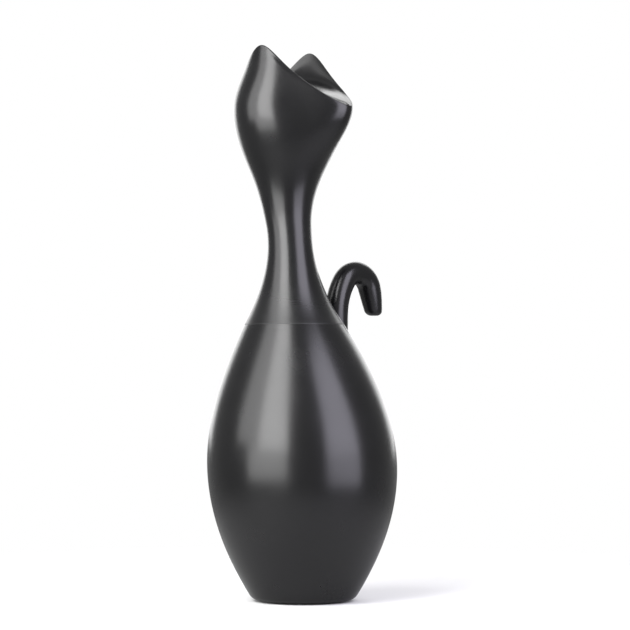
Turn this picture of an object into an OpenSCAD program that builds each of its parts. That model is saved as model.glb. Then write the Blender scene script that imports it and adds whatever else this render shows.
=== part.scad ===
// Slip-cast ceramic cat figurine: egg-shaped body, slender neck flaring into a
// scooped head with two ears, and a hooked tail luted to the side of the body.
// The head faces +X, the tail stands on the +Y side, and the felt rests on z = 0.

/* [Body casting] */
// Radius of the body where it would meet the resting plane
foot_r = 29.9; // [28:0.1:33]
// Largest radius of the body
belly_r = 56.8; // [54:0.1:60]
// Height of the largest radius
belly_z = 80.4; // [74:0.2:86]
// Height of the joint between body and neck
seam_z = 165; // [162:1:168]
// Radius at the joint
seam_r = 29.8; // [28:0.1:32]
// Distance that the axis has leaned back at the joint
seam_back = 7; // [4:0.1:10]
// Wall thickness of the castings
wall = 4.5; // [3.5:0.5:5]
// Thickness of the body's floor
floor_t = 6; // [5:0.5:8]

/* [Neck and head casting] */
// Radius of the neck at its narrowest
neck_r = 13.5; // [12:0.1:16]
// Height of the narrowest place
neck_z = 217; // [210:1:222]
// Distance that the neck leans back there
neck_back = 11.4; // [9:0.1:15]
// Half the width of the head at its widest
crown_r = 36.3; // [33:0.1:39]
// Height of the widest place
crown_z = 293.5; // [290:0.5:298]
// Distance that the head's middle stands back
crown_back = 11.9; // [9:0.1:15]
// Extra reach of the snout, as a share of the head's half width
snout_reach = 0.57; // [0.4:0.01:0.8]
// How sharply the snout comes to a point in plan
snout_power = 6.5; // [3:0.5:8]

/* [Scooped face] */
// Height of the scoop's valley above the middle of the head
scoop_z = 312.3; // [309:0.1:315]
// Slope of the valley there, down towards the snout, in degrees
scoop_tilt = 4.1; // [2:0.1:8]
// Further drop of the valley at the snout, as it curves down
scoop_bow = 14.9; // [12:0.1:17]
// Rise from the valley to the foot of an ear
ear_rise = 9.3; // [8:0.1:11]
// Share of that rise that is lost by the snout
ear_fade = 0.28; // [0:0.01:0.5]
// Distance from the valley's line to the foot of an ear
ear_half = 21; // [20:0.5:22]
// Power of the curve across the scoop
scoop_power = 5.4; // [4:0.1:6]

/* [Tail] */
// Radius of the tail
tail_r = 7.2; // [6:0.1:7.5]
// Position of the tail's upright root along X, before it is turned
tail_x = -11.3; // [-13:0.1:-8]
// Position of the tail's upright root along Y, before it is turned
tail_y = 39.7; // [39:0.1:42]
// Radius of the long bend above the root
sway_r = 35.6; // [34:0.1:40]
// Lean of the tail where the tight bend starts, in degrees
sway_angle = 35; // [30:1:38]
// Radius of the tight bend at the top
hook_r = 12.9; // [12:0.1:15]
// Height of the tight bend's centre
hook_z = 184.8; // [182:0.1:190]
// Outward slant of the hanging end, in degrees
tip_splay = 20.6; // [15:0.1:25]
// Height of the flat end of the tail
tip_z = 171.5; // [168:0.1:174]
// Width of the flat end, as a share of the tube's
tip_share = 0.7; // [0.6:0.05:1]
// Height of the root's lower end, inside the body
root_z = 127.2; // [126:0.1:131]
// Turn of the whole tail towards the front, about the body's axis, in degrees
tail_turn = 7; // [0:1:10]

/* [Joints and base] */
// Thickness of the fired slip between body and neck
slip_t = 0.8; // [0.5:0.1:1.2]
// Thickness of the slip pad around the tail's root
collar_t = 1.2; // [0.8:0.1:1.6]
// Width of the slip pad around the tail's root
collar_w = 1.6; // [1:0.1:2]
// Radius of the felt disc
felt_r = 25; // [23:0.1:26]
// Thickness of the felt disc
felt_t = 2; // [1.5:0.1:3]
// Height that the felt lifts the body
felt_proud = 0.8; // [0.5:0.1:1]
// Radius of the pour hole in the floor
pour_r = 9; // [7:0.5:11]
// Height of the stopper's lip above the floor
lip_h = 2; // [1.5:0.1:3]
// Overhang of the stopper's lip
lip_w = 1.2; // [0.8:0.1:1.5]

/* [Hidden] */
// Facets around a casting, and rows up each wall
facets = 48;
body_rows = 22;
cavity_rows = 12;
head_rows = 34;
head_cavity_rows = 18;
scoop_rows = 7;
// Sides of the tail's tube, and rings along its two bends
tail_sides = 24;
sway_rows = 8;
hook_rows = 26;
$fn = 96;
glaze = [0.09, 0.09, 0.095];
slip = [0.14, 0.13, 0.13];
// Low and high ends of the gap that the neck's slip fills
seam_low = seam_z - slip_t / 2;
seam_high = seam_z + slip_t / 2;
// Clearance of the felt in its recess, and how far cutters overshoot
felt_gap = 0.2;
over = 1;

// Height, half width and slope at each station of the outline
WIDTHS = [[0, foot_r, 0.65], [belly_z, belly_r, 0], [seam_z, seam_r, -0.57],
          [neck_z, neck_r, 0], [262, 24.9, 0.52], [crown_z, crown_r, 0],
          [335, 23.6, -0.01]];
// Height, position and slope at each station of the leaning axis
LEANS = [[0, 0, 0], [seam_z, -seam_back, -0.115], [225, -neck_back, -0.13],
         [292, -crown_back, -0.035], [348, -1.7 - crown_back, 0]];
// The section turns from round to pointed between these heights
POINTED = [256, 296];
// Share of its depth that the back of the head loses
back_flat = 0.18;
// Distance from the head's middle to the snout
snout_out = 46.6;

// Cubic between two stations
function hermite(p, q, t) =
    let (h = q[0] - p[0])
    (2 * t^3 - 3 * t^2 + 1) * p[1] + (t^3 - 2 * t^2 + t) * h * p[2]
    + (3 * t^2 - 2 * t^3) * q[1] + (t^3 - t^2) * h * q[2];
function station(s, z) = max([0, for (k = [0:len(s) - 2]) if (z >= s[k][0]) k]);
function along(s, z) =
    let (k = station(s, z))
    hermite(s[k], s[k + 1], (z - s[k][0]) / (s[k + 1][0] - s[k][0]));

function ease(t) = let (c = min(max(t, 0), 1)) c * c * (3 - 2 * c);
function pointed(z) = ease((z - POINTED[0]) / (POINTED[1] - POINTED[0]));
// Reach of the section in direction a, as a multiple of its half width
function reach(z, a) =
    (1 - back_flat * pointed(z))
    * (1 + snout_reach * pointed(z) * max(cos(a), 0)^snout_power);
// Point of the skin at height z in direction a, set in by the wall
function skin(z, a, inset) =
    [along(LEANS, z) + (along(WIDTHS, z) * reach(z, a) - inset) * cos(a),
     (along(WIDTHS, z) - inset) * sin(a), z];

// Height of the scooped face over a point in plan
function scoop(x, y, inset) =
    let (u = x + crown_back)
    scoop_z - inset / cos(scoop_tilt) - u * tan(scoop_tilt)
    - scoop_bow * (max(u, 0) / snout_out)^2
    + ear_rise * (1 - ear_fade * u / snout_out) * (abs(y) / ear_half)^scoop_power;
// Height at which the skin meets the scoop, by halving
function rim_z(a, inset, lo = 250, hi = 337, n = 18) =
    let (mid = (lo + hi) / 2, p = skin(mid, a, inset))
    n == 0 ? mid
    : mid > scoop(p[0], p[1], inset) ? rim_z(a, inset, lo, mid, n - 1)
    : rim_z(a, inset, mid, hi, n - 1);

// Faces of a stack of rings, closed by a flat cap below and a point above
function ring_faces(rows, sides = facets) =
    [for (i = [0:rows - 2], j = [0:sides - 1], half = [0, 1])
        let (k = (j + 1) % sides, a = i * sides, b = a + sides)
        half == 0 ? [a + j, b + j, b + k] : [a + j, b + k, a + k]];
function flat_cap(sides = facets) = [[for (j = [0:sides - 1]) j]];
function peak_faces(rows) =
    [for (j = [0:facets - 1])
        [(rows - 1) * facets + j, rows * facets, (rows - 1) * facets + (j + 1) % facets]];

// Solid egg between two heights
module egg(low, high, inset, rows) {
    rings = [for (i = [0:rows], j = [0:facets - 1])
        skin(low + (high - low) * i / rows, 360 * j / facets, inset)];
    top = [for (j = [facets - 1:-1:0]) rows * facets + j];
    polyhedron(rings, concat(ring_faces(rows + 1), flat_cap(), [top]));
}

// Solid neck and head from a flat cut up to the scooped face
module scooped_head(low, inset, rows) {
    rims = [for (j = [0:facets - 1]) rim_z(360 * j / facets, inset)];
    sides = [for (i = [0:rows], j = [0:facets - 1])
        skin(low + (rims[j] - low) * i / rows, 360 * j / facets, inset)];
    face = [for (i = [1:scoop_rows - 1], j = [0:facets - 1])
        let (p = skin(rims[j], 360 * j / facets, inset), t = i / scoop_rows,
             x = p[0] * (1 - t) - crown_back * t, y = p[1] * (1 - t))
        [x, y, scoop(x, y, inset)]];
    middle = [[-crown_back, 0, scoop(-crown_back, 0, inset)]];
    polyhedron(concat(sides, face, middle),
        concat(ring_faces(rows + scoop_rows), flat_cap(), peak_faces(rows + scoop_rows)));
}

// Everything inside the tail's upright root, between two heights
module tail_root(r, low, high) {
    rotate([0, 0, -tail_turn]) translate([tail_x, tail_y, low]) cylinder(r = r, h = high - low);
}

module body_casting() {
    color(glaze) difference() {
        egg(felt_proud, seam_low, 0, body_rows);
        egg(felt_proud + floor_t, seam_low + over, wall, cavity_rows);
        translate([0, 0, felt_proud - over])
            cylinder(r = felt_r + felt_gap, h = felt_t - felt_proud + over);
        translate([0, 0, felt_t - over])
            cylinder(r = pour_r, h = floor_t + 2 * over);
        tail_root(tail_r, root_z, seam_low - over);
    }
}

module head_casting() {
    color(glaze) difference() {
        scooped_head(seam_high, 0, head_rows);
        scooped_head(seam_high - over, wall, head_cavity_rows);
    }
}

// Centre of the tail's tube on a bend: [y, z] for a lean away from upright
function on_bend(centre, r, lean) = centre + r * [-cos(lean), sin(lean)];
// Ring of tube around a centre, square to a path that leans by this much
function tube_ring(c, lean) =
    [for (j = [0:tail_sides - 1])
        let (a = 360 * j / tail_sides, out = tail_r * sin(a))
        [tail_x + tail_r * cos(a), c[0] + out * cos(lean), c[1] - out * sin(lean)]];
// The same ring slid along its path on to the level plane that ends the tail, and
// narrowed, mostly from its outer side
function cut_level(ring, lean) =
    let (y = [for (p = ring) p[1] + (tip_z - p[2]) * tan(lean)], inner = min(y))
    [for (j = [0:tail_sides - 1])
        [tail_x + (ring[j][0] - tail_x) * tip_share, inner + (y[j] - inner) * tip_share, tip_z]];

module tail_casting() {
    // Centres of the long and the tight bend, each tangent to the next stretch
    tip_lean = 180 - tip_splay;
    slack = sway_r - hook_r;
    hook = [tail_y + sway_r - slack * cos(sway_angle), hook_z];
    sway = [tail_y + sway_r, hook_z - slack * sin(sway_angle)];
    steps = concat([for (i = [0:sway_rows]) sway_angle * i / sway_rows],
        [for (i = [1:hook_rows]) sway_angle + (tip_lean - sway_angle) * i / hook_rows]);
    bent = [for (a = steps) each tube_ring(
        a < sway_angle ? on_bend(sway, sway_r, a) : on_bend(hook, hook_r, a), a)];
    root = tube_ring([tail_y, root_z], 0);
    tip = cut_level(tube_ring(on_bend(hook, hook_r, tip_lean), tip_lean), tip_lean);
    rings = len(steps) + 2;
    top = [for (j = [tail_sides - 1:-1:0]) (rings - 1) * tail_sides + j];
    color(glaze) rotate([0, 0, -tail_turn]) polyhedron(concat(root, bent, tip),
        concat(ring_faces(rings, tail_sides), flat_cap(tail_sides), [top]));
}

// Fired slip that luted the neck to the body
module neck_slip_joint() {
    color(slip) translate([-seam_back, 0, seam_low]) difference() {
        cylinder(r = seam_r - slip_t / 2, h = slip_t);
        translate([0, 0, -over]) cylinder(r = seam_r - wall, h = slip_t + 2 * over);
    }
}

// Pad of fired slip that follows the body's skin around the tail's root
module tail_slip_joint() {
    low = root_z - tail_r;
    color(slip) difference() {
        intersection() {
            tail_root(tail_r + collar_w, low, seam_low - over);
            egg(low - over, seam_low, -collar_t, 6);
        }
        egg(felt_proud, seam_low, 0, body_rows);
        tail_root(tail_r, low - over, seam_low);
    }
}

// Rubber bung, held by a lip above the floor
module pour_hole_stopper() {
    top = felt_proud + floor_t;
    color([0.2, 0.2, 0.2]) {
        translate([0, 0, felt_t]) cylinder(r = pour_r, h = top - felt_t);
        translate([0, 0, top]) cylinder(r1 = pour_r + lip_w, r2 = pour_r - lip_w, h = lip_h);
    }
}

module base_felt() {
    color([0.12, 0.12, 0.12]) cylinder(r = felt_r, h = felt_t);
}

body_casting();
head_casting();
tail_casting();
neck_slip_joint();
tail_slip_joint();
pour_hole_stopper();
base_felt();
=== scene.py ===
import functools
import math

import bmesh
import bpy
from mathutils import Matrix, Vector


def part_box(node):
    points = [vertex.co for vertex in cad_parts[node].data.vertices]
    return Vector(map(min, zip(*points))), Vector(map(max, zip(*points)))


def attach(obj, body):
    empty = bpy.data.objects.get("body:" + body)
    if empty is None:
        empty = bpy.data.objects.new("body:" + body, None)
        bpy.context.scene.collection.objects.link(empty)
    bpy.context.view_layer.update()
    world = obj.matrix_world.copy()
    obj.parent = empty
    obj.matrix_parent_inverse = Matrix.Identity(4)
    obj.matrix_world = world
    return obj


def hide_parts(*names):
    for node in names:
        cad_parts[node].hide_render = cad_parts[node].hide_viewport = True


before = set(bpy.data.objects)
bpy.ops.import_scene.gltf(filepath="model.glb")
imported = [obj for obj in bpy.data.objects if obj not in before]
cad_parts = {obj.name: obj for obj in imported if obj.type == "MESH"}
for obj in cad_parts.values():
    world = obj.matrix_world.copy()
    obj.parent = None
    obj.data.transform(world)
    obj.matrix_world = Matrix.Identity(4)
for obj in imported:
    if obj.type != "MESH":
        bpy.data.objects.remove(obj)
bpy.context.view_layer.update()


# ---- Body casting ----
# Hollow egg of earthenware, slip cast in a plaster mould, so its wall is even. It stands on a
# foot ring round a recess for the felt, and the spare slip was poured out through its floor.

foot_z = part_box("body_casting")[0].z
body_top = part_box("body_casting")[1].z
seam_z = (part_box("neck_slip_joint")[0].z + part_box("neck_slip_joint")[1].z) / 2
felt_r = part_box("base_felt")[1].x
felt_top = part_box("base_felt")[1].z
wall = 0.0045
floor_thick = 0.006
floor_top = foot_z + floor_thick
felt_gap = 0.0002
recess_r = felt_r + felt_gap
pour_r = 0.009
base_r = 0.0299
belly_z = 0.0804
belly_r = 0.0568
seam_r = 0.0298
# Height, half width and slope at each station of the outline
BODY_OUTLINE = [(0, base_r, 0.65), (belly_z, belly_r, 0), (seam_z, seam_r, -0.54)]
# How far back the axis stands at the seam, the neck, the crown and the ears' tips
seam_back = 0.0070
neck_back = 0.0114
crown_back = 0.0119
ears_back = 0.0136
# Height, position and slope at each station of the axis, which leans back
LEAN = [(0, 0, 0), (seam_z, -seam_back, -0.115), (0.225, -neck_back, -0.13),
        (0.292, -crown_back, -0.035), (0.348, -ears_back, 0)]
# The outer skin's rows start above the foot's rounded edge
skin_low = foot_z + 0.006
AROUND = 192
BODY_ROWS = 80
CAVITY_ROWS = 30
# Corners closer than this are one corner
MERGED = 1e-7
# A corner this close to a radius and height lies on them
ON_RING = 1e-6
# Edges that turn more than this stay crisp
CRISP_ANGLE = math.radians(50)


def along(stations, z):
    """Value at height z of the smooth curve through stations of (height, value, slope)."""
    pairs = list(zip(stations, stations[1:]))
    low, high = next((p for p in reversed(pairs) if z >= p[0][0]), pairs[0])
    h = high[0] - low[0]
    t = (z - low[0]) / h
    return ((2 * t**3 - 3 * t**2 + 1) * low[1] + (t**3 - 2 * t**2 + t) * h * low[2]
            + (3 * t**2 - 2 * t**3) * high[1] + (t**3 - t**2) * h * high[2])


def steps_between(low, high, rows):
    """Heights from low to high in equal steps, both ends included."""
    return [low + (high - low) * i / rows for i in range(rows + 1)]


def turn(outline, around, closed=True):
    """Turns an outline of (radius, height) points round the upright axis, as a jigger does."""
    bm = bmesh.new()
    points = [bm.verts.new((r, 0, z)) for r, z in outline]
    edges = [bm.edges.new(pair) for pair in zip(points, points[1:])]
    if closed:
        edges.append(bm.edges.new((points[-1], points[0])))
    bmesh.ops.spin(bm, geom=points + edges, cent=(0, 0, 0), axis=(0, 0, 1),
                   angle=math.tau, steps=around, use_merge=True)
    bmesh.ops.remove_doubles(bm, verts=bm.verts, dist=MERGED)
    bmesh.ops.recalc_face_normals(bm, faces=bm.faces)
    return bm


def soften(bm, edges, radius, segments):
    """Rounds edges over, as a wet sponge does to clay."""
    bmesh.ops.bevel(bm, geom=edges, offset=radius, segments=segments, profile=0.5,
                    affect="EDGES", material=-1)


def soften_ring(bm, ring_r, ring_z, radius, segments):
    """Rounds over the ring of edges at that radius and height of a turned shape."""
    soften(bm, [e for e in bm.edges
                if all(abs(math.hypot(v.co.x, v.co.y) - ring_r) < ON_RING
                       and abs(v.co.z - ring_z) < ON_RING for v in e.verts)], radius, segments)


def finish_piece(bm, name, material):
    """Makes the finished mesh an object with that material, crisp where it turns a corner."""
    for e in bm.edges:
        e.smooth = e.calc_face_angle(0) < CRISP_ANGLE
    mesh = bpy.data.meshes.new(name)
    bm.to_mesh(mesh)
    bm.free()
    mesh.polygons.foreach_set("use_smooth", [True] * len(mesh.polygons))
    mesh.materials.append(material)
    piece = bpy.data.objects.new(name, mesh)
    bpy.context.scene.collection.objects.link(piece)
    return piece


def linear(code):
    """Linear colour with alpha for an sRGB hex value."""
    parts = [int(code[i:i + 2], 16) / 255 for i in (1, 3, 5)]
    return [c / 12.92 if c <= 0.04045 else ((c + 0.055) / 1.055) ** 2.4 for c in parts] + [1]


def add(tree, kind, inputs=None, **settings):
    """Adds a node with its settings, and links or sets its inputs."""
    node = tree.nodes.new(kind)
    for name, value in settings.items():
        setattr(node, name, value)
    for name, value in (inputs or {}).items():
        if isinstance(value, bpy.types.NodeSocket):
            tree.links.new(value, node.inputs[name])
        else:
            node.inputs[name].default_value = value
    return node


def new_material(name):
    """Empty node material, and the tree that its nodes go in."""
    material = bpy.data.materials.new(name)
    material.use_nodes = True
    material.node_tree.nodes.clear()
    return material, material.node_tree


# Satin black glaze, sprayed and fired: a thin glass with fine crystals in it, so a lamp shows as
# a broad soft band and not as a sharp picture. It lies a little uneven, in faint upright brush
# and drip marks, with a skin like orange peel, a few pinholes and cloudy changes of gloss.
satin_glaze, tree = new_material("satin_black_glaze")
place = add(tree, "ShaderNodeTexCoord").outputs["Object"]
axes = add(tree, "ShaderNodeSeparateXYZ", {0: place})
# The drips are laid on a tube 45 mm in radius round the leaning axis, and drawn out upright
MEAN_LEAN = 0.052
DRIP_TUBE_R = 0.045
DRIP_SQUASH = 0.07
upright_x = add(tree, "ShaderNodeMath", {
    0: axes.outputs["Z"], 1: MEAN_LEAN, 2: axes.outputs["X"]}, operation="MULTIPLY_ADD")
outward = add(tree, "ShaderNodeVectorMath", {0: add(
    tree, "ShaderNodeCombineXYZ", {"X": upright_x.outputs[0], "Y": axes.outputs["Y"]}).outputs[0]},
    operation="NORMALIZE")
round_wall = add(tree, "ShaderNodeVectorMath", {
    0: outward.outputs[0], 1: (DRIP_TUBE_R,) * 3,
    2: add(tree, "ShaderNodeCombineXYZ", {"Z": add(
        tree, "ShaderNodeMath", {0: axes.outputs["Z"], 1: DRIP_SQUASH},
        operation="MULTIPLY").outputs[0]}).outputs[0]}, operation="MULTIPLY_ADD")
# Drip marks 43 mm long, and 3 to 4 mm wide on the belly but narrower on the neck
drips = add(tree, "ShaderNodeTexNoise", {
    "Vector": round_wall.outputs[0], "Scale": 1 / 0.003, "Detail": 2.0, "Roughness": 0.5})
# Orange peel 2.4 mm across
peel = add(tree, "ShaderNodeTexNoise", {
    "Vector": place, "Scale": 1 / 0.0024, "Detail": 1.0, "Roughness": 0.4})
# Crystals of 0.05 mm, drawn 0.9 mm across because finer ones don't show
grain = add(tree, "ShaderNodeTexNoise", {
    "Vector": place, "Scale": 1 / 0.0009, "Detail": 2.0, "Roughness": 0.6})
# Clouds of gloss 26 mm across
clouds = add(tree, "ShaderNodeTexNoise", {
    "Vector": place, "Scale": 1 / 0.026, "Detail": 3.0, "Roughness": 0.55})
# Points about 14 mm apart all through the space, with a pinhole where one comes within 0.5 mm
# of the skin, so only a few show
cells = add(tree, "ShaderNodeTexVoronoi", {"Vector": place, "Scale": 1 / 0.014,
                                           "Randomness": 1.0}, feature="F1")
pinholes = add(tree, "ShaderNodeMapRange", {
    "Value": cells.outputs["Distance"], "From Min": 0.0, "From Max": 0.036,
    "To Min": 1.0, "To Max": 0.0}, interpolation_type="SMOOTHERSTEP")
# Sponge strokes left in the 22 mm above the joint, 1.6 mm wide, slanting round the neck
sponged_height = 0.022
sponge_turn = add(tree, "ShaderNodeMapping", {
    "Vector": place, "Rotation": (math.radians(14), math.radians(-18), 0),
    "Scale": (0.12, 0.12, 1.0)}, vector_type="POINT")
strokes = add(tree, "ShaderNodeTexNoise", {
    "Vector": sponge_turn.outputs[0], "Scale": 1 / 0.0016, "Detail": 3.0, "Roughness": 0.6})
sponge_zone = add(tree, "ShaderNodeMapRange", {
    "Value": axes.outputs["Z"], "From Min": seam_z, "From Max": seam_z + sponged_height,
    "To Min": 1.0, "To Max": 0.0}, interpolation_type="SMOOTHSTEP")
above_seam = add(tree, "ShaderNodeMath", {0: axes.outputs["Z"], 1: seam_z},
                 operation="GREATER_THAN")
sponged = add(tree, "ShaderNodeMath", {0: sponge_zone.outputs[0], 1: above_seam.outputs[0]},
              operation="MULTIPLY")
stroke_relief = add(tree, "ShaderNodeMath", {0: strokes.outputs[0], 1: sponged.outputs[0]},
                    operation="MULTIPLY")
# Relief in metres: each layer's depth is the height that its noise swings through
relief = None
for layer, depth in ((drips.outputs[0], 9e-6), (peel.outputs[0], 7e-6),
                     (grain.outputs[0], 1.5e-6), (pinholes.outputs[0], -6e-5),
                     (stroke_relief.outputs[0], 2.6e-5)):
    relief = add(tree, "ShaderNodeMath", {0: layer, 1: depth, 2: relief or 0.0},
                 operation="MULTIPLY_ADD").outputs[0]
uneven = add(tree, "ShaderNodeBump", {"Height": relief, "Distance": 1.0, "Strength": 1.0})
gloss = add(tree, "ShaderNodeMapRange", {
    "Value": clouds.outputs[0], "From Min": 0.3, "From Max": 0.7, "To Min": 0.23, "To Max": 0.28})
worn_gloss = add(tree, "ShaderNodeMath", {0: stroke_relief.outputs[0], 1: 0.10,
                                          2: gloss.outputs[0]}, operation="MULTIPLY_ADD")
tint = add(tree, "ShaderNodeMix", {
    "Factor": clouds.outputs[0], 6: linear("#0a0a0b"), 7: linear("#0e0e0f")}, data_type="RGBA")
shader = add(tree, "ShaderNodeBsdfPrincipled", {
    "Base Color": tint.outputs[2], "Roughness": worn_gloss.outputs[0], "IOR": 1.5,
    "Normal": uneven.outputs[0]})
add(tree, "ShaderNodeOutputMaterial", {"Surface": shader.outputs[0]})

outer = [(along(BODY_OUTLINE, z), z)
         for z in steps_between(skin_low, body_top, BODY_ROWS)]
cavity = [(along(BODY_OUTLINE, z) - wall, z)
          for z in steps_between(body_top, floor_top, CAVITY_ROWS)]
foot_r = along(BODY_OUTLINE, foot_z)
body = turn([(pour_r, felt_top), (recess_r, felt_top), (recess_r, foot_z), (foot_r, foot_z)]
            + outer + cavity + [(pour_r, floor_top)], AROUND)
# Radius and height of each edge that the sponge rounded, how far, and in how many steps
for ring_r, ring_z, radius, segments in (
        (foot_r, foot_z, 0.0030, 6), (recess_r, foot_z, 0.0006, 3), (recess_r, felt_top, 0.0004, 2),
        (pour_r, felt_top, 0.0004, 2)):
    soften_ring(body, ring_r, ring_z, radius, segments)
for v in body.verts:
    v.co.x += along(LEAN, v.co.z)
body = finish_piece(body, "glazed_body_casting", satin_glaze)
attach(body, "root")
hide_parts("body_casting")


# ---- Neck and head casting ----
# Second slip casting: a slender neck that flares into a head scooped out like a spoon, so that
# its rim makes two ears and a snout. Its rim was fettled with a knife and sponged round.

neck_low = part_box("head_casting")[0].z
neck_z = 0.217
neck_r = 0.0135
cheek_z = 0.262
cheek_r = 0.0249
crown_z = 0.2935
crown_r = 0.0363
ears_z = 0.335
ears_r = 0.0236
# Height, half width and slope at each station of the outline
NECK_OUTLINE = [(seam_z, seam_r, -0.60), (neck_z, neck_r, 0), (cheek_z, cheek_r, 0.52),
                (crown_z, crown_r, 0), (ears_z, ears_r, -0.01)]
# Heights between which the section turns from round to pointed
POINTED = (0.256, 0.296)
back_flat = 0.18
snout_reach = 0.57
snout_power = 6.5
# Scooped face: the valley's height and slope, its curve down to the snout, and the ears' rise
scoop_z = 0.3123
scoop_slope = math.tan(math.radians(4.1))
scoop_bow = 0.0149
snout_out = 0.0466
ear_rise = 0.0093
ear_fade = 0.28
ear_half = 0.021
scoop_power = 5.4
rim_round = 0.0008
# Heights that the rim lies between, and how often that range is halved to find it
RIM_RANGE = (0.250, 0.337)
HALVINGS = 24
# Rows of the can above this height, or beyond this radius, are its lid's edge
LID_EDGE = 0.9999
HEAD_ROWS = 70
FACE_ROWS = 20
HEAD_CAVITY_ROWS = 24
FACE_CAVITY_ROWS = 8


def skin(z, angle, inset):
    """Point of the neck and head's skin, set in by the wall, in a direction from the axis."""
    t = min(max((z - POINTED[0]) / (POINTED[1] - POINTED[0]), 0), 1)
    pointed = t * t * (3 - 2 * t)
    snout = 1 + snout_reach * pointed * max(math.cos(angle), 0) ** snout_power
    half = along(NECK_OUTLINE, z)
    depth = half * (1 - back_flat * pointed) * snout - inset
    return Vector((along(LEAN, z) + depth * math.cos(angle), (half - inset) * math.sin(angle), z))


def scoop(x, y, inset):
    """Height of the scooped face, or of the cavity under it, over a point in plan."""
    u = x + crown_back
    rise = ear_rise * (1 - ear_fade * u / snout_out) * (abs(y) / ear_half) ** scoop_power
    return (scoop_z - inset * math.hypot(1, scoop_slope) - u * scoop_slope
            - scoop_bow * (max(u, 0) / snout_out) ** 2 + rise)


@functools.cache
def rim_z(angle, inset):
    """Height at which the skin meets the scooped face, by halving."""
    low, high = RIM_RANGE
    for _ in range(HALVINGS):
        middle = (low + high) / 2
        p = skin(middle, angle, inset)
        if middle > scoop(p.x, p.y, inset):
            high = middle
        else:
            low = middle
    return low


def cast_can(inset, wall_rows, face_rows):
    """Neck and head as one skin: a can with a lid, its wall moved to the skin and its lid to the
    scooped face. Gives the can and the edges of its rim."""
    bm = turn([(1, t) for t in steps_between(0, 1, wall_rows)]
              + [(1 - t, 1) for t in steps_between(0, 1, face_rows)[1:]], AROUND, closed=False)
    rim = [e for e in bm.edges
           if all(v.co.z > LID_EDGE and math.hypot(v.co.x, v.co.y) > LID_EDGE
                  for v in e.verts)]
    for v in bm.verts:
        angle = round(math.atan2(v.co.y, v.co.x), 6)
        top = rim_z(angle, inset)
        if v.co.z < LID_EDGE:
            v.co = skin(neck_low + (top - neck_low) * v.co.z, angle, inset)
        else:
            share = math.hypot(v.co.x, v.co.y)
            p = skin(top, angle, inset)
            x, y = -crown_back + (p.x + crown_back) * share, p.y * share
            v.co = (x, y, scoop(x, y, inset))
    return bm, rim


head, rim = cast_can(0, HEAD_ROWS, FACE_ROWS)
soften(head, rim, rim_round, 5)
cavity_mesh = bpy.data.meshes.new("head_cavity")
cavity, _ = cast_can(wall, HEAD_CAVITY_ROWS, FACE_CAVITY_ROWS)
bmesh.ops.reverse_faces(cavity, faces=cavity.faces)
cavity.to_mesh(cavity_mesh)
cavity.free()
head.from_mesh(cavity_mesh)
bpy.data.meshes.remove(cavity_mesh)
bmesh.ops.bridge_loops(head, edges=[e for e in head.edges if e.is_boundary])
head = finish_piece(head, "glazed_head_casting", satin_glaze)
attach(head, "root")
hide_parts("head_casting")


# ---- Neck joint ----
# Ring of casting slip that luted the two castings together while they were leather hard. It was
# wiped flush with the skin, so that under the glaze only a faint crease and wiping marks show.

slip_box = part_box("neck_slip_joint")
slip_inset = 0.0002
slip_in = seam_r - wall + slip_inset
slip_back = along(LEAN, seam_z)
# Slip under glaze: the same black glass, but dry and a little rough where the body drank it
slip_glaze, tree = new_material("glazed_casting_slip")
place = add(tree, "ShaderNodeTexCoord").outputs["Object"]
# Wiping marks 1.5 mm across
wiping = add(tree, "ShaderNodeTexNoise", {
    "Vector": place, "Scale": 1 / 0.0015, "Detail": 3.0, "Roughness": 0.6})
dryness = add(tree, "ShaderNodeMapRange", {
    "Value": wiping.outputs[0], "From Min": 0.3, "From Max": 0.7, "To Min": 0.34, "To Max": 0.46})
uneven = add(tree, "ShaderNodeBump", {
    "Height": wiping.outputs[0], "Distance": 2.5e-5, "Strength": 1.0})
tint = add(tree, "ShaderNodeMix", {
    "Factor": wiping.outputs[0], 6: linear("#0b0b0c"), 7: linear("#141415")}, data_type="RGBA")
shader = add(tree, "ShaderNodeBsdfPrincipled", {
    "Base Color": tint.outputs[2], "Roughness": dryness.outputs[0], "IOR": 1.5,
    "Normal": uneven.outputs[0]})
add(tree, "ShaderNodeOutputMaterial", {"Surface": shader.outputs[0]})

seam = turn([(slip_in, slip_box[0].z), (along(BODY_OUTLINE, slip_box[0].z), slip_box[0].z),
             (seam_r, seam_z), (along(NECK_OUTLINE, slip_box[1].z), slip_box[1].z),
             (slip_in, slip_box[1].z)], AROUND)
bmesh.ops.translate(seam, verts=seam.verts, vec=(slip_back, 0, 0))
seam = finish_piece(seam, "neck_joint_slip", slip_glaze)
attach(seam, "root")
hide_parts("neck_slip_joint")


# ---- Tail ----
# Solid coil of the same clay, rolled, bent into a hook over a former and cut off level. Its root
# was let into the shoulder and luted there. Its cut end was sponged round.

tail_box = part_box("tail_casting")
tail_r = 0.0072
# Where its root stands before the whole tail is turned a little towards the front
tail_x, tail_y = -0.0113, 0.0397
tail_turn = Matrix.Rotation(math.radians(-7), 3, "Z")
root_z = tail_box[0].z
sway_r = 0.0356
sway_angle = math.radians(35)
hook_r = 0.0129
tip_lean = math.radians(180 - 20.6)
tip_z = 0.1715
hook_z = tail_box[1].z - hook_r - tail_r
sway_centre = Vector((tail_x, tail_y + sway_r, hook_z - (sway_r - hook_r) * math.sin(sway_angle)))
hook_centre = Vector((tail_x, tail_y + sway_r - (sway_r - hook_r) * math.cos(sway_angle), hook_z))
tip_edge = 0.0032
tip_share = 0.68
tip_taper = 1.5
STRAIGHT_ROWS = 10
SWAY_ROWS = 14
HOOK_ROWS = 44
TIP_ROWS = 4
TAIL_SIDES = 48


def ring_of(verts):
    """The edges that join these corners to each other."""
    return [e for e in {e for v in verts for e in v.link_edges}
            if all(v in verts for v in e.verts)]


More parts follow.
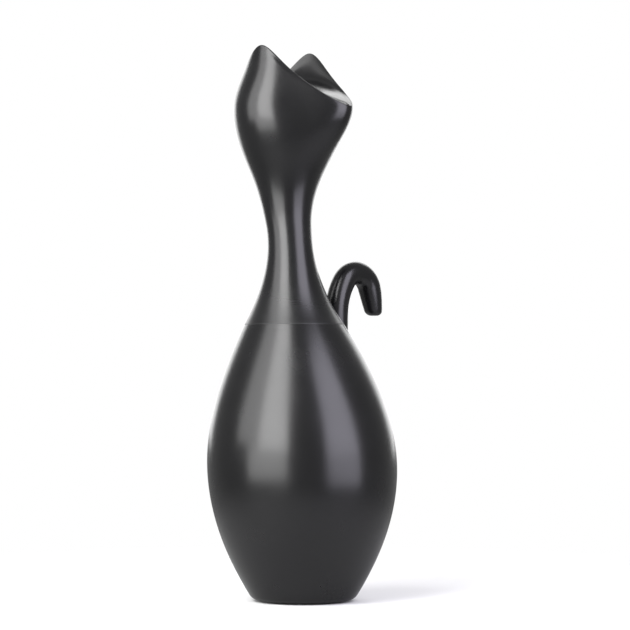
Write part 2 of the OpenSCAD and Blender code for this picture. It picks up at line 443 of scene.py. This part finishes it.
tail = bmesh.new()
ends = set(bmesh.ops.create_circle(tail, segments=TAIL_SIDES, radius=tail_r, cap_ends=True,
                                   matrix=Matrix.Translation((tail_x, tail_y, root_z)))["verts"])
for rise in steps_between(root_z, sway_centre.z, STRAIGHT_ROWS)[1:]:
    made = bmesh.ops.extrude_edge_only(tail, edges=ring_of(ends))["geom"]
    ends = {g for g in made if isinstance(g, bmesh.types.BMVert)}
    for v in ends:
        v.co.z = rise
for centre, angle, bend_steps in ((sway_centre, sway_angle, SWAY_ROWS),
                                  (hook_centre, tip_lean - sway_angle, HOOK_ROWS)):
    made = bmesh.ops.spin(tail, geom=ring_of(ends), cent=centre, axis=(-1, 0, 0), angle=angle,
                          steps=bend_steps)["geom_last"]
    ends = {g for g in made if isinstance(g, bmesh.types.BMVert)}
# The hanging end: each row slides down the slant and is drawn in, mostly from its outer side
bend_end = {v: v.co.copy() for v in ends}
for row in range(1, TIP_ROWS + 1):
    starts = {v: bend_end[v] for v in ends}
    made = bmesh.ops.extrude_edge_only(tail, edges=ring_of(ends))["geom"]
    ends = {g for g in made if isinstance(g, bmesh.types.BMVert)}
    bend_end = {v: starts[next(e.other_vert(v) for e in v.link_edges if e.other_vert(v) in starts)]
                for v in ends}
    share = row / TIP_ROWS
    for v, start in bend_end.items():
        v.co = start + Vector((0, math.tan(tip_lean), 1)) * (tip_z - start.z) * share
    inner = min(v.co.y for v in ends)
    width = 1 - (1 - tip_share) * share ** tip_taper
    for v in ends:
        v.co.x = tail_x + (v.co.x - tail_x) * width
        v.co.y = inner + (v.co.y - inner) * width
ring = ring_of(ends)
bmesh.ops.contextual_create(tail, geom=ring)
bmesh.ops.remove_doubles(tail, verts=tail.verts, dist=MERGED)
bmesh.ops.recalc_face_normals(tail, faces=tail.faces)
soften(tail, ring, tip_edge, 8)
bmesh.ops.rotate(tail, verts=tail.verts, cent=(0, 0, 0), matrix=tail_turn)
tail = finish_piece(tail, "glazed_tail", satin_glaze)
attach(tail, "root")
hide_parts("tail_casting")


# ---- Tail joint ----
# Collar of slip, smoothed with a finger into a hollow curve where the tail enters the shoulder.
# It is thick in the crook on the neck's side and fades out on the side away from it.

fillet_r = 0.0016
fillet_most = 0.0060
fillet_least = 0.0008
# How far the slip sinks into the clay at its thin edges, and at its buried root
slip_bite = 0.00005
slip_root = 0.0006
FILLET_ROWS = 10
SMALL_AROUND = 96
tail_root = tail_turn @ Vector((tail_x, tail_y, 0))


def body_gap(p):
    """How far a point stands out from the body's skin, measured level."""
    return math.hypot(p.x - along(LEAN, p.z), p.y) - along(BODY_OUTLINE, p.z)


def drop_to_skin(x, y):
    """Height at which an upright line meets the body's skin, by halving."""
    low, high = root_z - 0.010, body_top
    for _ in range(HALVINGS):
        middle = (low + high) / 2
        if body_gap(Vector((x, y, middle))) > 0:
            high = middle
        else:
            low = middle
    return low


def skin_normal(p):
    """Outward direction of the body's skin."""
    step = 1e-5
    lean = along(LEAN, p.z)
    flat = Vector((p.x - lean, p.y, 0)).normalized()
    rise = (body_gap(p + Vector((0, 0, step))) - body_gap(p - Vector((0, 0, step)))) / (2 * step)
    return Vector((flat.x, flat.y, rise)).normalized()


# A ring with a closed section: rows 0 to 1 run from the tube to the skin on the outside, and the
# one row at 2 lies buried where tube and skin meet
fillet = turn([(1, t) for t in steps_between(0, 1, FILLET_ROWS)] + [(1, 2)], SMALL_AROUND)
for v in fillet.verts:
    a = math.atan2(v.co.y, v.co.x)
    out = Vector((math.cos(a), math.sin(a), 0))
    foot = tail_root + out * tail_r
    foot.z = drop_to_skin(foot.x, foot.y)
    normal = skin_normal(foot)
    away = (out - normal * out.dot(normal)).normalized()
    half_angle = math.acos(max(-1, min(1, away.z))) / 2
    reach = min(max(fillet_r / math.tan(half_angle), fillet_least), fillet_most)
    t = v.co.z
    if t > 1.5:
        v.co = foot - (out + normal) * slip_root
    else:
        up = foot + Vector((0, 0, reach)) - out * slip_bite
        down = foot + away * reach
        down.z = min(down.z, body_top)
        down = down - skin_normal(down) * (body_gap(down) + slip_bite)
        v.co = up * (1 - t) ** 2 + foot * (2 * t * (1 - t)) + down * t ** 2
bmesh.ops.recalc_face_normals(fillet, faces=fillet.faces)
fillet = finish_piece(fillet, "tail_joint_slip", slip_glaze)
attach(fillet, "root")
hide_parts("tail_slip_joint")


# ---- Pour hole stopper ----
# Moulded rubber bung, pushed up through the pour hole after firing. Its lip springs out above
# the floor and holds it, and a dished face lets a thumb press it home.

bung_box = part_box("pour_hole_stopper")
bung_low = bung_box[0].z
bung_top = bung_box[1].z
bung_lip = bung_box[1].x
bung_r = pour_r - 0.0003
bung_top_r = pour_r - 0.0012
dish_z = bung_low + 0.0008
hollow_z = floor_top - 0.0010
# Moulded rubber: dull, dark grey, with a fine spark-eroded grain and a bloom of wax on it
rubber, tree = new_material("moulded_rubber")
place = add(tree, "ShaderNodeTexCoord").outputs["Object"]
# Mould grain 0.4 mm across
grain = add(tree, "ShaderNodeTexNoise", {
    "Vector": place, "Scale": 1 / 0.0004, "Detail": 2.0, "Roughness": 0.6})
bloom = add(tree, "ShaderNodeTexNoise", {
    "Vector": place, "Scale": 1 / 0.006, "Detail": 3.0, "Roughness": 0.6})
dullness = add(tree, "ShaderNodeMapRange", {
    "Value": bloom.outputs[0], "From Min": 0.3, "From Max": 0.7, "To Min": 0.55, "To Max": 0.75})
uneven = add(tree, "ShaderNodeBump", {
    "Height": grain.outputs[0], "Distance": 3e-5, "Strength": 1.0})
tint = add(tree, "ShaderNodeMix", {
    "Factor": bloom.outputs[0], 6: linear("#1d1d1e"), 7: linear("#2b2b2c")}, data_type="RGBA")
shader = add(tree, "ShaderNodeBsdfPrincipled", {
    "Base Color": tint.outputs[2], "Roughness": dullness.outputs[0], "IOR": 1.52,
    "Normal": uneven.outputs[0]})
add(tree, "ShaderNodeOutputMaterial", {"Surface": shader.outputs[0]})

bung = turn([(0, dish_z), (pour_r * 0.55, dish_z), (pour_r * 0.7, bung_low),
             (bung_r, bung_low), (bung_r, floor_top),
             (bung_lip, floor_top), (bung_lip - 0.0004, floor_top + 0.0006),
             (bung_top_r, bung_top), (pour_r - 0.0028, bung_top),
             (pour_r - 0.0034, hollow_z), (0, hollow_z)], SMALL_AROUND, closed=False)
soften_ring(bung, bung_r, bung_low, 0.0003, 2)
soften_ring(bung, bung_top_r, bung_top, 0.0002, 2)
bung = finish_piece(bung, "rubber_stopper", rubber)
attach(bung, "root")
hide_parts("pour_hole_stopper")


# ---- Base felt ----
# Disc stamped from wool felt and glued into the recess. It stands a little proud of the foot
# ring, so that the fired clay never touches the furniture. Its cut edge is soft.

# Pressed wool felt: short fibres lying every way, dyed black, with paler hairs and no gloss
felt_cloth, tree = new_material("pressed_wool_felt")
place = add(tree, "ShaderNodeTexCoord").outputs["Object"]
# Fibres of 0.03 mm, drawn 0.35 mm thick and ten times as long because finer ones don't show
fibres = None
for turned in (0, 55, 115):
    laid = add(tree, "ShaderNodeMapping", {
        "Vector": place, "Rotation": (0, 0, math.radians(turned)), "Scale": (0.1, 1.0, 0.6)})
    hair = add(tree, "ShaderNodeTexNoise", {
        "Vector": laid.outputs[0], "Scale": 1 / 0.00035, "Detail": 2.0, "Roughness": 0.7,
        "Distortion": 0.6})
    fibres = hair.outputs[0] if fibres is None else add(
        tree, "ShaderNodeMath", {0: fibres, 1: hair.outputs[0]}, operation="MAXIMUM").outputs[0]
tufts = add(tree, "ShaderNodeTexNoise", {
    "Vector": place, "Scale": 1 / 0.004, "Detail": 3.0, "Roughness": 0.6})
pale_hairs = add(tree, "ShaderNodeMapRange", {
    "Value": fibres, "From Min": 0.55, "From Max": 0.75, "To Min": 0.0, "To Max": 1.0})
dyed = add(tree, "ShaderNodeMix", {
    "Factor": tufts.outputs[0], 6: linear("#161617"), 7: linear("#262628")}, data_type="RGBA")
tint = add(tree, "ShaderNodeMix", {
    "Factor": pale_hairs.outputs[0], 6: dyed.outputs[2], 7: linear("#4a4a4d")}, data_type="RGBA")
uneven = add(tree, "ShaderNodeBump", {"Height": fibres, "Distance": 3e-4, "Strength": 0.9})
shader = add(tree, "ShaderNodeBsdfPrincipled", {
    "Base Color": tint.outputs[2], "Roughness": 0.95, "IOR": 1.5, "Sheen Weight": 0.35,
    "Sheen Roughness": 0.5, "Normal": uneven.outputs[0]})
add(tree, "ShaderNodeOutputMaterial", {"Surface": shader.outputs[0]})

felt_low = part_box("base_felt")[0].z
felt_edge = 0.0005
FELT_FACE_ROWS = 24
FELT_BACK_ROWS = 12
felt = turn([(felt_r * t, felt_low) for t in steps_between(0, 1, FELT_FACE_ROWS)]
            + [(felt_r * t, felt_top) for t in steps_between(1, 0, FELT_BACK_ROWS)],
            AROUND, closed=False)
soften_ring(felt, felt_r, felt_low, felt_edge, 3)
for v in felt.verts:
    r, a = math.hypot(v.co.x, v.co.y), math.atan2(v.co.y, v.co.x)
    # Stamped edge that wanders a little, and a face pressed down unevenly by the weight
    wander = 0.00012 * math.sin(9 * a) + 0.00008 * math.sin(23 * a + 1)
    v.co.x -= abs(wander) * math.cos(a) * (r / felt_r) ** 6
    v.co.y -= abs(wander) * math.sin(a) * (r / felt_r) ** 6
    if v.co.z < (felt_low + felt_top) / 2:
        v.co.z += 0.00006 * (1 + math.sin(900 * v.co.x) * math.sin(780 * v.co.y + 1))
felt = finish_piece(felt, "wool_base_felt", felt_cloth)
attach(felt, "root")
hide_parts("base_felt")


# ---- Table, light and camera ----
# White product table that fades out into the white of the room. Tall soft boxes stand on both
# sides of the lens with short ones under them, and a lit white paper hangs behind the figurine.
# The long lens stands level with the upper part of the body.

table_r = 0.75
# The table is solid within the first radius, and quite gone at the second
solid_r = 0.08
faded_r = table_r * 0.60
table_white, tree = new_material("matt_white_table")
place = add(tree, "ShaderNodeTexCoord").outputs["Object"]
distance = add(tree, "ShaderNodeVectorMath", {0: place}, operation="LENGTH")
fade = add(tree, "ShaderNodeMapRange", {
    "Value": distance.outputs["Value"], "From Min": solid_r, "From Max": faded_r,
    "To Min": 0.0, "To Max": 1.0}, interpolation_type="SMOOTHSTEP")
# Pale to the lens, and a mid grey for what the glaze reflects
seen = add(tree, "ShaderNodeLightPath")
paint = add(tree, "ShaderNodeMix", {"Factor": seen.outputs["Is Camera Ray"],
                                    6: linear("#acacac"), 7: linear("#ececec")}, data_type="RGBA")
matt = add(tree, "ShaderNodeBsdfPrincipled", {"Base Color": paint.outputs[2], "Roughness": 0.8})
gone = add(tree, "ShaderNodeBsdfTransparent")
both = add(tree, "ShaderNodeMixShader", {
    0: fade.outputs[0], 1: matt.outputs[0], 2: gone.outputs[0]})
add(tree, "ShaderNodeOutputMaterial", {"Surface": both.outputs[0]})
table = bmesh.new()
bmesh.ops.create_circle(table, segments=96, radius=table_r, cap_ends=True)
table = finish_piece(table, "table", table_white)

# The room: white to the lens, and a dimmer grey for what the glaze reflects
room = bpy.data.worlds.new("studio")
room.use_nodes = True
room.node_tree.nodes.clear()
seen = add(room.node_tree, "ShaderNodeLightPath")
room_light = add(room.node_tree, "ShaderNodeMapRange", {
    "Value": seen.outputs["Is Camera Ray"], "To Min": 0.30, "To Max": 1.0})
room_glow = add(room.node_tree, "ShaderNodeBackground", {
    "Color": (1, 1, 1, 1), "Strength": room_light.outputs[0]})
add(room.node_tree, "ShaderNodeOutputWorld", {"Surface": room_glow.outputs[0]})
bpy.context.scene.world = room

# Directions are taken from the lens's side of the figurine, turning to its right
lens_azimuth = math.radians(38)
lens_tilt = math.radians(91.415)
lens_distance = 1.364
lens_aside = 0.00687
lens_height = 0.1368
ahead = Vector((math.sin(lens_azimuth), -math.cos(lens_azimuth), 0))
right = Vector((math.cos(lens_azimuth), math.sin(lens_azimuth), 0))


def softbox(name, turned, distance, centre_z, width, height, brightness, colour):
    """Upright lit rectangle that faces the figurine's axis, turned so many degrees from the lens.
    Brightness is its radiance, 1 being paper white."""
    lamp = bpy.data.lights.new(name, "AREA")
    lamp.shape = "RECTANGLE"
    lamp.size, lamp.size_y = width, height
    lamp.energy = brightness * math.pi * width * height
    lamp.color = linear(colour)[:3]
    stand = bpy.data.objects.new(name, lamp)
    way = ahead * math.cos(math.radians(turned)) + right * math.sin(math.radians(turned))
    stand.location = way * distance + Vector((0, 0, centre_z))
    stand.rotation_mode = "QUATERNION"
    stand.rotation_quaternion = (Vector((0, 0, centre_z)) - stand.location).to_track_quat("-Z", "Y")
    stand.visible_camera = False
    bpy.context.scene.collection.objects.link(stand)


softbox("left_softbox", -34, 0.45, 0.71, 0.30, 1.08, 8.9, "#ffffff")
softbox("left_panel", -68, 0.45, 0.71, 0.22, 1.08, 3.6, "#ffffff")
softbox("right_softbox", 50, 0.45, 0.485, 0.34, 0.65, 4.9, "#f3f0ff")
# Short, dimmer boxes below, because a tall box lit from its top fades towards its lower end
softbox("left_lower_end", -40, 0.45, 0.095, 0.40, 0.15, 4.6, "#ffffff")
softbox("right_lower_end", 50, 0.45, 0.085, 0.34, 0.15, 3.4, "#f3f0ff")
softbox("lit_backdrop", 180, 0.90, 0.56, 1.40, 0.92, 2.2, "#ffffff")

camera = bpy.data.cameras.new("lens")
camera.sensor_width = 36
camera.lens = 130.2
camera.clip_start = 0.01
camera_stand = bpy.data.objects.new("lens", camera)
camera_stand.location = ahead * lens_distance + right * lens_aside + Vector((0, 0, lens_height))
camera_stand.rotation_euler = (lens_tilt, 0, lens_azimuth)
bpy.context.scene.collection.objects.link(camera_stand)
bpy.context.scene.camera = camera_stand
bpy.context.scene.view_settings.view_transform = "Standard"
